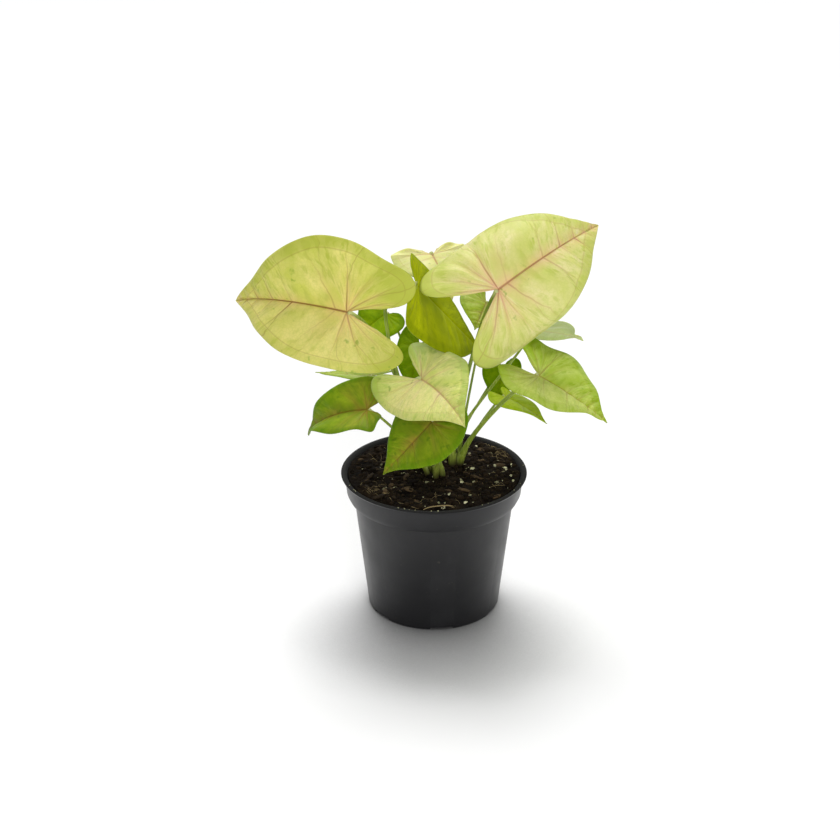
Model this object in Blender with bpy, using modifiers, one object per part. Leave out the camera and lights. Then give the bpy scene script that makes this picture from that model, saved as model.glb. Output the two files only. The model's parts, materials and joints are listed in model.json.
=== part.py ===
"""Potted syngonium: a young arrowhead vine in a round nursery pot.

Millimetres in the tables, metres in the scene. +Z is up, +X runs to the right of the
plant's best side and -Y towards whoever looks at it. The origin is the middle of the
pot's underside, on the surface that the pot stands on.
"""

import math

import bmesh
import bpy
from mathutils import Matrix, Vector

MM = 0.001
GAP = 0.3  # left between two pieces that touch

# Pot
RIM_RADIUS = 60.0
BAND_TOP_RADIUS = 57.6
BAND_FOOT_RADIUS = 56.4
BODY_TOP_RADIUS = 51.6
BASE_RADIUS = 43.0
POT_HEIGHT = 94.4
LIP_HEIGHT = 1.8
LIP_CREST = 1.6  # from the rim's edge in to its highest ring
LIP_ROUND = 0.9
BAND_HEIGHT = 18.4
SHOULDER_HEIGHT = 5.0
SHOULDER_ROUND = 1.6
WALL = 1.5
FOOT_WIDTH = 7.0
FOOT_ROUND = 1.6
FLOOR_RISE = 2.4  # of the underside between the boss and the foot ring
FLOOR_DRAFT = 1.0  # how far the sides of that channel lean in on the way up
BOSS_RADIUS = 14.0
HOLE_RADIUS = 4.0
HOLE_RING_RADIUS = 25.0
HOLE_COUNT = 8
HOLE_FACETS = 16
NOTCH_COUNT = 6
NOTCH_WIDTH = 15.0
NOTCH_HEIGHT = 2.0
FRONT_NOTCH = -83.0  # degrees in plan
TURN_STEPS = 48

# Soil
SOIL_LEVEL = 89.0
SOIL_CROWN = 1.0  # how much higher its middle lies than its edge
SOIL_RINGS = 5

# Stems, each the short stump that one plantlet's stalks grow round
STEM_RADIUS = 3.0
STEM_TIP_RADIUS = 2.1
STEM_HEIGHT = 9.0
STEM_FACETS = 14
STALK_BASE_RADIUS = 1.9
STALK_TIP_RADIUS = 1.1
STALK_FOOT = 3.0  # the straight length that each stalk starts with
STALK_SETBACK = 0.5  # from the junction back along the midrib to the stalk's end
STALK_POINTS = 10

# Blades
BLADE_THICKNESS = 0.6
BLADE_SPAN = 20  # facets round the margin
BLADE_RISE = 4  # facets from the midrib to the margin
VEIN_SLANT = 0.75  # how far a side vein runs forward for each unit outward

# Half of the margin, from the tip back to the notch at the stalk. Ahead of the stalk the
# first number is a share of the blade's length, behind it a share of the lobe's. The
# second is a share of the half width.
FRONT_MARGIN = ((1.0, 0.0), (0.93, 0.07), (0.78, 0.26), (0.58, 0.60), (0.33, 0.90), (0.08, 1.0))
LOBE_MARGIN = ((-0.35, 0.98), (-0.80, 0.84), (-1.0, 0.60), (-0.88, 0.38), (-0.5, 0.19))

STEMS = {
    "stem_right": (13.0, 13.0),
    "stem_front": (1.0, -6.0),
    "stem_back": (-4.0, 14.0),
}

# at: where the stalk meets the blade. heading, pitch, roll: which way the midrib points
# in plan, how far it rises, and how the blade banks about it. length, width, lobe: the
# midrib, the half width and the back lobes. droop, back, fold, curl: how far the tip and
# the lobes bend down, how far the halves rise from the midrib, and how far they curl on
# their way to the margin. sweep and skew: the midrib's sideways bend and the uneven halves.
# stem and side: the stump it grows from, and the side of the stump in plan. rise and
# hook: how far the stalk stands straight at its foot and at the blade, as shares of its
# reach. under: 1 where it meets the blade square from below, less where it leans forward.
LEAVES = {
    "big_left": dict(
        at=(-54, -16, 210), heading=164, pitch=7, roll=-74, length=96, width=41, lobe=43,
        droop=50, back=5, fold=23, curl=-11, sweep=0.15, skew=-0.12,
        stem="stem_back", side=-150, rise=0.2, hook=0.16, under=0.8,
    ),
    "big_right": dict(
        at=(39, -14, 224), heading=13, pitch=35, roll=60, length=87, width=51, lobe=38,
        droop=55, back=9, fold=16, curl=-99, sweep=-0.03, skew=0,
        stem="stem_right", side=-105, rise=0.2, hook=0.16, under=0.8,
    ),
    "front": dict(
        at=(-8, -35, 173), heading=-55, pitch=0, roll=29, length=52, width=29, lobe=30,
        droop=18, back=10, fold=10, curl=-33, sweep=-0.18, skew=0,
        stem="stem_front", side=-30, rise=0.2, hook=0.4, under=0.3,
    ),
    "front_low": dict(
        at=(-2, -54, 153), heading=-162, pitch=-45, roll=-17, length=45, width=29, lobe=21,
        droop=11, back=15, fold=8, curl=-15, sweep=-0.1, skew=0,
        stem="stem_front", side=-90, rise=0.2, hook=0.16, under=0.8,
    ),
    "left_low": dict(
        at=(-42, -18, 145), heading=160, pitch=-11, roll=-38, length=65, width=21, lobe=16,
        droop=58, back=15, fold=32, curl=-16, sweep=0, skew=0,
        stem="stem_front", side=-165, rise=0.2, hook=0.16, under=0.8,
    ),
    "right": dict(
        at=(65, -20, 169), heading=-23, pitch=-21, roll=-2, length=51, width=41, lobe=23,
        droop=13, back=13, fold=9, curl=-15, sweep=0, skew=0.12,
        stem="stem_right", side=-45, rise=0.2, hook=0.16, under=0.8,
    ),
    "right_low": dict(
        at=(46, 18, 138), heading=-27, pitch=-14, roll=-15, length=33, width=20, lobe=8,
        droop=16, back=10, fold=9, curl=-17, sweep=0, skew=0,
        stem="stem_right", side=0, rise=0.2, hook=0.16, under=0.8,
    ),
    "right_shade": dict(
        at=(45, 47, 146), heading=-110, pitch=-55, roll=-8, length=24, width=13, lobe=8,
        droop=13, back=10, fold=10, curl=-10, sweep=0, skew=0,
        stem="stem_right", side=105, rise=0.2, hook=0.16, under=0.8,
    ),
    "right_back": dict(
        at=(64, 32, 178), heading=41, pitch=-12, roll=-26, length=46, width=24, lobe=18,
        droop=21, back=10, fold=9, curl=-17, sweep=0, skew=0,
        stem="stem_right", side=165, rise=0.2, hook=0.16, under=0.8,
    ),
    "right_inner": dict(
        at=(33, 22, 201), heading=-109, pitch=-18, roll=-15, length=24, width=17, lobe=16,
        droop=12, back=10, fold=9, curl=-10, sweep=0, skew=0,
        stem="stem_right", side=45, rise=0.2, hook=0.16, under=0.8,
    ),
    "middle": dict(
        at=(-11, 2, 221), heading=24, pitch=-49, roll=33, length=66, width=31, lobe=7,
        droop=2, back=0, fold=3, curl=-11, sweep=0.03, skew=-0.15,
        stem="stem_front", side=135, rise=0.1, hook=0.4, under=0.5,
    ),
    "top": dict(
        at=(-1, 66, 218), heading=-63, pitch=-30, roll=-1, length=36, width=27, lobe=6,
        droop=13, back=15, fold=14, curl=-15, sweep=0, skew=-0.15,
        stem="stem_back", side=60, rise=0.2, hook=0.16, under=0.8,
    ),
    "left_shade": dict(
        at=(-31, 34, 189), heading=-164, pitch=-31, roll=-14, length=28, width=23, lobe=8,
        droop=14, back=8, fold=8, curl=-11, sweep=0, skew=0,
        stem="stem_back", side=-90, rise=0.2, hook=0.16, under=0.95,
    ),
    "left_edge": dict(
        at=(-42, 22, 151), heading=171, pitch=-2, roll=13, length=35, width=19, lobe=16,
        droop=-5, back=10, fold=7, curl=-11, sweep=0, skew=0,
        stem="stem_back", side=165, rise=0.2, hook=0.16, under=0.8,
    ),
    "front_shade": dict(
        at=(-9, 22, 172), heading=-105, pitch=-32, roll=1, length=35, width=15, lobe=15,
        droop=12, back=9, fold=8, curl=-10, sweep=0, skew=0,
        stem="stem_back", side=120, rise=0.2, hook=0.16, under=0.8,
    ),
}

COLOURS = {
    "pot": ((0.020, 0.020, 0.022), 0.38),
    "soil": ((0.016, 0.010, 0.007), 0.95),
    "stem": ((0.26, 0.33, 0.08), 0.55),
    "blade": ((0.45, 0.56, 0.10), 0.42),
}


def clear_scene():
    for obj in list(bpy.data.objects):
        bpy.data.objects.remove(obj, do_unlink=True)


def make_collection(name):
    collection = bpy.data.collections.new(name)
    bpy.context.scene.collection.children.link(collection)
    return collection


def make_material(name, colour, roughness):
    material = bpy.data.materials.new(name)
    material.use_nodes = True
    shader = material.node_tree.nodes["Principled BSDF"]
    shader.inputs["Base Color"].default_value = (*colour, 1.0)
    shader.inputs["Roughness"].default_value = roughness
    shader.inputs["Metallic"].default_value = 0.0
    return material


def add_object(name, data, material, collection):
    obj = bpy.data.objects.new(name, data)
    data.materials.append(material)
    collection.objects.link(obj)
    return obj


def add_mesh(name, bm, material, collection):
    mesh = bpy.data.meshes.new(name)
    bm.to_mesh(mesh)
    bm.free()
    mesh.shade_smooth()
    return add_object(name, mesh, material, collection)


def add_turned(name, profile, material, collection):
    """A solid turned about Z from (radius, height) points that run down its outer side."""
    bm = bmesh.new()
    points = [bm.verts.new((radius * MM, 0, height * MM)) for radius, height in profile]
    for first, second in zip(points, points[1:]):
        bm.edges.new((first, second))
    obj = add_mesh(name, bm, material, collection)
    screw = obj.modifiers.new("Turn", "SCREW")
    screw.steps = TURN_STEPS
    screw.render_steps = TURN_STEPS
    screw.use_merge_vertices = True
    screw.merge_threshold = 0.00001
    screw.use_smooth_shade = True
    return obj


def cut_away(target, name, bm, cutters):
    mesh = bpy.data.meshes.new(name)
    bm.to_mesh(mesh)
    bm.free()
    cutter = bpy.data.objects.new(name, mesh)
    cutter.hide_render = True
    cutter.display_type = "WIRE"
    cutters.objects.link(cutter)
    cut = target.modifiers.new(name, "BOOLEAN")
    cut.operation = "DIFFERENCE"
    cut.object = cutter


# Pot


def band_foot():
    return POT_HEIGHT - BAND_HEIGHT


def pot_inside():
    """The pot's inner wall, from the middle of its floor out and up to the lip."""
    shoulder = band_foot() + SHOULDER_HEIGHT
    return [
        (0.0, FLOOR_RISE + WALL),
        (BASE_RADIUS - 2.0 * WALL, FLOOR_RISE + WALL),
        (BODY_TOP_RADIUS - WALL, band_foot() + WALL),
        (BAND_FOOT_RADIUS - WALL, shoulder + WALL),
        (BAND_TOP_RADIUS - WALL, POT_HEIGHT - LIP_HEIGHT),
    ]


def pot_outside():
    """From the lip's inner edge over the rim, down the outer side and in along the underside."""
    lip_foot = POT_HEIGHT - LIP_HEIGHT
    crest = RIM_RADIUS - LIP_CREST
    channel_edge = BASE_RADIUS - FOOT_WIDTH
    return [
        (crest - LIP_ROUND, POT_HEIGHT - LIP_ROUND / 3),
        (crest, POT_HEIGHT),
        (RIM_RADIUS - LIP_ROUND / 2, POT_HEIGHT - LIP_ROUND / 3),
        (RIM_RADIUS, POT_HEIGHT - LIP_ROUND),
        (RIM_RADIUS - LIP_ROUND / 2, lip_foot),
        (BAND_TOP_RADIUS, lip_foot - LIP_ROUND),
        (BAND_FOOT_RADIUS, band_foot() + SHOULDER_HEIGHT),
        (BAND_FOOT_RADIUS - SHOULDER_ROUND, band_foot() + SHOULDER_ROUND),
        (BODY_TOP_RADIUS, band_foot()),
        (BASE_RADIUS, FOOT_ROUND),
        (BASE_RADIUS - 0.3 * FOOT_ROUND, 0.3 * FOOT_ROUND),
        (BASE_RADIUS - FOOT_ROUND, 0.0),
        (channel_edge, 0.0),
        (channel_edge - FLOOR_DRAFT, FLOOR_RISE),
        (BOSS_RADIUS + FLOOR_DRAFT, FLOOR_RISE),
        (BOSS_RADIUS, 0.0),
        (0.0, 0.0),
    ]


def around(count, first_angle, radius):
    for number in range(count):
        angle = first_angle + math.tau * number / count
        yield angle, Vector((math.cos(angle), math.sin(angle), 0)) * radius * MM


def make_pot(material, collection, cutters):
    outside = pot_outside()
    pot = add_turned("nursery_pot", outside + pot_inside() + outside[:1], material, collection)

    holes = bmesh.new()
    through = 3 * (FLOOR_RISE + WALL)
    for angle, place in around(HOLE_COUNT, 0.0, HOLE_RING_RADIUS):
        bmesh.ops.create_cone(
            holes, cap_ends=True, segments=HOLE_FACETS, radius1=HOLE_RADIUS * MM,
            radius2=HOLE_RADIUS * MM, depth=through * MM, matrix=Matrix.Translation(place),
        )
    cut_away(pot, "drain_holes", holes, cutters)

    notches = bmesh.new()
    size = Vector((3 * FOOT_WIDTH, NOTCH_WIDTH, 2 * NOTCH_HEIGHT)) * MM
    for angle, place in around(NOTCH_COUNT, math.radians(FRONT_NOTCH), BASE_RADIUS):
        turn = Matrix.Rotation(angle, 4, "Z")
        shape = Matrix.Translation(place) @ turn @ Matrix.Diagonal(size).to_4x4()
        bmesh.ops.create_cube(notches, size=1.0, matrix=shape)
    cut_away(pot, "foot_notches", notches, cutters)


# Soil


def soil_edge_radius():
    """The inner wall's radius at the soil's level, less the gap."""
    (low_radius, low), (high_radius, high) = pot_inside()[-2:]
    share = (SOIL_LEVEL - low) / (high - low)
    return low_radius + share * (high_radius - low_radius) - GAP


def soil_height(x, y):
    share = math.hypot(x, y) / soil_edge_radius()
    return SOIL_LEVEL + SOIL_CROWN * (1.0 - min(share, 1.0) ** 2)


def make_soil(material, collection):
    """It fills the pot from the floor to a slightly crowned top."""
    radii = [soil_edge_radius() * number / SOIL_RINGS for number in range(SOIL_RINGS + 1)]
    top = [(radius, soil_height(radius, 0.0)) for radius in radii]
    side = [(radius - 1.5 * GAP, height + GAP) for radius, height in pot_inside()[3:0:-1]]
    bottom = [(0.0, FLOOR_RISE + WALL + GAP)]
    add_turned("potting_soil", top + side + bottom, material, collection)


# Stems and stalks


def make_stem(name, middle, material, collection):
    foot = soil_height(*middle) + GAP
    place = Matrix.Translation(Vector((*middle, foot + STEM_HEIGHT / 2)) * MM)
    bm = bmesh.new()
    bmesh.ops.create_cone(
        bm, cap_ends=True, segments=STEM_FACETS, radius1=STEM_RADIUS * MM,
        radius2=STEM_TIP_RADIUS * MM, depth=STEM_HEIGHT * MM, matrix=place,
    )
    add_mesh(name, bm, material, collection)


def blade_axes(leaf):
    """Unit vectors along the midrib, to the blade's left, and up out of its upper side."""
    heading, pitch, roll = (math.radians(leaf[key]) for key in ("heading", "pitch", "roll"))
    along = Vector((
        math.cos(pitch) * math.cos(heading), math.cos(pitch) * math.sin(heading), math.sin(pitch),
    ))
    level = Vector((-math.sin(heading), math.cos(heading), 0.0))
    above = along.cross(level)
    left = math.cos(roll) * level + math.sin(roll) * above
    return along, left, along.cross(left)


def stalk_points(leaf):
    """The stalk's route from the soil to just under the blade, in millimetres."""
    stem_x, stem_y = STEMS[leaf["stem"]]
    side = math.radians(leaf["side"])
    ring = STEM_RADIUS + STALK_BASE_RADIUS + GAP
    x, y = stem_x + ring * math.cos(side), stem_y + ring * math.sin(side)
    foot = Vector((x, y, soil_height(x, y) + 1.5 * GAP))
    start = foot + Vector((0.0, 0.0, STALK_FOOT))

    along, _, above = blade_axes(leaf)
    under = leaf["under"]
    arrival = under * above + math.sqrt(1.0 - under ** 2) * along
    clearance = BLADE_THICKNESS / 2 + GAP + STALK_TIP_RADIUS * math.sqrt(1.0 - under ** 2)
    end = Vector(leaf["at"]) - above * clearance - along * STALK_SETBACK
    reach = (end - start).length
    first = start + Vector((0.0, 0.0, leaf["rise"] * reach))
    second = end - arrival * leaf["hook"] * reach
    points = [foot]
    for number in range(STALK_POINTS):
        t = number / (STALK_POINTS - 1)
        points.append(
            (1 - t) ** 3 * start + 3 * (1 - t) ** 2 * t * first
            + 3 * (1 - t) * t ** 2 * second + t ** 3 * end
        )
    return points


def make_stalk(name, leaf, material, collection):
    points = stalk_points(leaf)
    curve = bpy.data.curves.new(name, "CURVE")
    curve.dimensions = "3D"
    curve.bevel_depth = STALK_BASE_RADIUS * MM
    curve.bevel_resolution = 2
    curve.use_fill_caps = True
    spline = curve.splines.new("POLY")
    spline.points.add(len(points) - 1)
    for number, (target, point) in enumerate(zip(spline.points, points)):
        share = number / (len(points) - 1)
        target.co = (*(point * MM), 1.0)
        target.radius = 1.0 + share * (STALK_TIP_RADIUS / STALK_BASE_RADIUS - 1.0)
    add_object(name, curve, material, collection)


# Blades


def smooth_through(points, share):
    """The Catmull-Rom curve through the points, at a share of the way from first to last."""
    last = len(points) - 1
    place = min(max(share, 0.0) * last, last - 1e-9)
    number = int(place)
    t = place - number
    before = points[number - 1] if number else 2 * points[0] - points[1]
    after = points[number + 2] if number + 2 <= last else 2 * points[last] - points[last - 1]
    here, there = points[number], points[number + 1]
    return 0.5 * (
        2 * here + (there - before) * t + (2 * before - 5 * here + 4 * there - after) * t ** 2
        + (3 * here - 3 * there + after - before) * t ** 3
    )


def margin_points(leaf):
    front = [Vector((a * leaf["length"], b * leaf["width"])) for a, b in FRONT_MARGIN]
    lobe = [Vector((a * leaf["lobe"], b * leaf["width"])) for a, b in LOBE_MARGIN]
    return front + lobe


def bend_blade(leaf, axes, a, b):
    """Where the flat blade's point, a along the midrib and b to its left, really lies."""
    along, left, above = axes
    b *= 1.0 + leaf["skew"] * math.copysign(1.0, b)
    if a >= 0:
        rate = math.radians(leaf["droop"]) / leaf["length"]
    else:
        rate = -math.radians(leaf["back"]) / leaf["lobe"]
    rate = rate or 1e-6
    ahead, rise, slope = math.sin(rate * a) / rate, (math.cos(rate * a) - 1.0) / rate, -rate * a

    fold, curl = math.radians(leaf["fold"]), math.radians(leaf["curl"]) / leaf["width"]
    turned = fold + curl * abs(b)
    out = math.copysign((math.sin(turned) - math.sin(fold)) / curl, b)
    lift = (math.cos(fold) - math.cos(turned)) / curl
    out += leaf["sweep"] * max(a, 0.0) ** 2 / leaf["length"]
    ahead -= lift * math.sin(slope)
    rise += lift * math.cos(slope)
    return Vector(leaf["at"]) + ahead * along + out * left + rise * above


def make_blade(name, leaf, material, collection):
    margin, axes = margin_points(leaf), blade_axes(leaf)
    bm = bmesh.new()
    bmesh.ops.create_grid(bm, x_segments=BLADE_SPAN, y_segments=BLADE_RISE, size=1.0)
    for vert in bm.verts:
        edge = smooth_through(margin, abs(vert.co.x))
        vein_foot = Vector((max(edge.x - VEIN_SLANT * edge.y, 0.0), 0.0))
        flat = vein_foot.lerp(edge, (vert.co.y + 1.0) / 2)
        across = math.copysign(flat.y, -vert.co.x)
        vert.co = bend_blade(leaf, axes, flat.x, across) * MM
    bmesh.ops.remove_doubles(bm, verts=bm.verts, dist=0.01 * MM)
    obj = add_mesh(name, bm, material, collection)
    thicken = obj.modifiers.new("Thickness", "SOLIDIFY")
    thicken.thickness = BLADE_THICKNESS * MM
    thicken.offset = 0.0


def main():
    clear_scene()
    parts = make_collection("potted_syngonium")
    cutters = make_collection("cutters")
    paint = {name: make_material(name, *look) for name, look in COLOURS.items()}
    make_pot(paint["pot"], parts, cutters)
    make_soil(paint["soil"], parts)
    for name, middle in STEMS.items():
        make_stem(name, middle, paint["stem"], parts)
    for name, leaf in LEAVES.items():
        make_stalk(f"stalk_{name}", leaf, paint["stem"], parts)
        make_blade(f"blade_{name}", leaf, paint["blade"], parts)


main()
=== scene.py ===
import json
import math
import random

import bmesh
import bpy
from mathutils import Matrix, Vector, noise

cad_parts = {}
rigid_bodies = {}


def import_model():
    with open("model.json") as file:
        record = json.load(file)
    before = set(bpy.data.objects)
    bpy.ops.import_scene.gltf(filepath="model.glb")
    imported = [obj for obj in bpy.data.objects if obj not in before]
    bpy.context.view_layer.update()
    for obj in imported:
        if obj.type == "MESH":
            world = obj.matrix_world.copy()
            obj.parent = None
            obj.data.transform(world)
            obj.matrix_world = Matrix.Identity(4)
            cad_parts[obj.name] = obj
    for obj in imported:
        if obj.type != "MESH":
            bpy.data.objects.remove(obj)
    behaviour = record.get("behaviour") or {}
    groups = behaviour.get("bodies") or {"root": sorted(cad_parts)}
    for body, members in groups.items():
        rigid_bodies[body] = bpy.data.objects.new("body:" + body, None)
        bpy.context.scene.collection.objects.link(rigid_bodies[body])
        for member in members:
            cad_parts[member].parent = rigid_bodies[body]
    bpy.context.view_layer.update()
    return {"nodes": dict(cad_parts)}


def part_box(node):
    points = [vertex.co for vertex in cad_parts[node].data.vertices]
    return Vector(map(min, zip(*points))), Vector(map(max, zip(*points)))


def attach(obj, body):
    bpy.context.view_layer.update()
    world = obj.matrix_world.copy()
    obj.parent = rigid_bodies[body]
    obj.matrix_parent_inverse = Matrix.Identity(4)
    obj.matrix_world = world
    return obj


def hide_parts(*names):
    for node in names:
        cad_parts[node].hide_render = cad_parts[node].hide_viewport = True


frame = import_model()
mm = 0.001
print("frame loaded,", len(frame["nodes"]), "CAD nodes")


# where the camera stands, in metres, and how far it is tilted up from straight down
viewpoint = dict(place=(-0.009, -1.123, 0.6434), tilt=65.42, lens=82.9, sensor=36.0)


def makeCamera():
    camera = bpy.data.objects.new("camera", bpy.data.cameras.new("camera"))
    camera.data.lens = viewpoint["lens"]
    camera.data.sensor_width = viewpoint["sensor"]
    camera.location = viewpoint["place"]
    camera.rotation_euler = (math.radians(viewpoint["tilt"]), 0.0, 0.0)
    bpy.context.scene.collection.objects.link(camera)
    bpy.context.scene.camera = camera


makeCamera()


def toLinear(code):  # an sRGB hex colour as linear RGBA
    parts = [int(code[place:place + 2], 16) / 255 for place in (1, 3, 5)]
    linear = [c / 12.92 if c <= 0.04045 else ((c + 0.055) / 1.055) ** 2.4 for c in parts]
    return (*linear, 1.0)


def addNode(tree, kind, inputs=None, **settings):
    node = tree.nodes.new("ShaderNode" + kind)
    for name, value in settings.items():
        setattr(node, name, value)
    for key, value in (inputs or {}).items():
        if isinstance(value, bpy.types.Node):
            value = next(output for output in value.outputs if output.enabled)
        if isinstance(value, bpy.types.NodeSocket):
            tree.links.new(value, node.inputs[key])
        else:
            node.inputs[key].default_value = value
    return node


def newMaterial(name, roughness, specular=0.5):
    material = bpy.data.materials.new(name)
    material.use_nodes = True
    shader = material.node_tree.nodes["Principled BSDF"]
    shader.inputs["Roughness"].default_value = roughness
    shader.inputs["Specular IOR Level"].default_value = specular
    return material, material.node_tree, shader


def grain(size):  # a noise scale whose lumps are about this many mm across
    return 1.0 / (size * mm)


def addPiece(name, bm, materials, slot, *cadNodes):
    mesh = bpy.data.meshes.new(name)
    bm.to_mesh(mesh)
    bm.free()
    mesh.shade_smooth()
    piece = bpy.data.objects.new(name, mesh)
    for material in materials:
        mesh.materials.append(material)
    bpy.context.scene.collection.objects.link(piece)
    if cadNodes:
        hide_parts(*cadNodes)
    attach(piece, "root")
    return piece


def pieceName(name):  # big_left as BigLeft
    return "".join(word.capitalize() for word in name.split("_"))


def boxMiddle(low, high):
    return (Vector(low) + Vector(high)) / 2


def smoothThrough(points, share):  # the Catmull-Rom curve, at a share of its way
    last = len(points) - 1
    spot = min(max(share, 0.0) * last, last - 1e-9)
    number = int(spot)
    t = spot - number
    before = points[number - 1] if number else 2 * points[0] - points[1]
    after = points[number + 2] if number + 2 <= last else 2 * points[last] - points[last - 1]
    here, there = points[number], points[number + 1]
    return 0.5 * (
        2 * here + (there - before) * t + (2 * before - 5 * here + 4 * there - after) * t ** 2
        + (3 * here - 3 * there + after - before) * t ** 3
    )


# leaf materials

# Living leaf: a waxy cuticle over soft tissue, so a satin gloss with some light carried
# under the surface. Young leaves are cream-lime with a pink-tan blush along the veins,
# and they green as they age.
leafLooks = {
    "youngLeaf": dict(
        base="#cfd05c", light="#e8de84", green="#b8be48", vein="#8a5c26", blush="#f0c08a",
        blushAmount=0.7, fleck="#7f9f22", under="#c9d38c", gloss=0.46, lines=0.85, shine=0.22,
    ),
    "youngPinkLeaf": dict(
        base="#dadb80", light="#f0e6a8", green="#c3cb60", vein="#a0603c", blush="#ecb894",
        blushAmount=1.05, fleck="#86a42c", under="#cdd694", gloss=0.46, lines=0.7, shine=0.22,
    ),
    "paleLeaf": dict(
        base="#d0d86c", light="#e6e190", green="#a8bb52", vein="#a87058", blush="#dab98c",
        blushAmount=0.55, fleck="#6f8f24", under="#c4d08c", gloss=0.48, lines=0.55, shine=0.2,
    ),
    "creamLeaf": dict(
        base="#f2f4a4", light="#f8f4ba", green="#e4e890", vein="#b8705c", blush="#e8c49c",
        blushAmount=0.5, fleck="#8fa84c", under="#cdd694", gloss=0.48, lines=0.6, shine=0.22,
    ),
    "limeLeaf": dict(
        base="#a6bb38", light="#c6d06c", green="#8ca818", vein="#86602a", blush="#b8ae58",
        blushAmount=0.35, fleck="#6c8e14", under="#a2b642", gloss=0.46, lines=0.6, shine=0.12,
    ),
    "brightLeaf": dict(
        base="#bad02c", light="#c6d840", green="#a6be1e", vein="#a09a30", blush="#b4b440",
        blushAmount=0.2, fleck="#6c8e14", under="#b6cc38", gloss=0.5, lines=0.4, shine=0.06,
    ),
    "grownLeaf": dict(
        base="#718f04", light="#93a81e", green="#5f8402", vein="#7a5a20", blush="#a8883a",
        blushAmount=0.8, fleck="#4a6e08", under="#8fa858", gloss=0.5, lines=0.55, shine=0.08,
    ),
    "shadedLeaf": dict(
        base="#7c9a04", light="#92ac08", green="#688c04", vein="#7c8a08", blush="#869608",
        blushAmount=0.2, fleck="#4a6e08", under="#88a440", gloss=0.55, lines=0.5, shine=0.03,
    ),
    "oliveLeaf": dict(
        base="#98a204", light="#b4bc0c", green="#869406", vein="#7c840c", blush="#a8a018",
        blushAmount=0.2, fleck="#76860c", under="#9aa84c", gloss=0.55, lines=0.3, shine=0.03,
    ),
}


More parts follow.
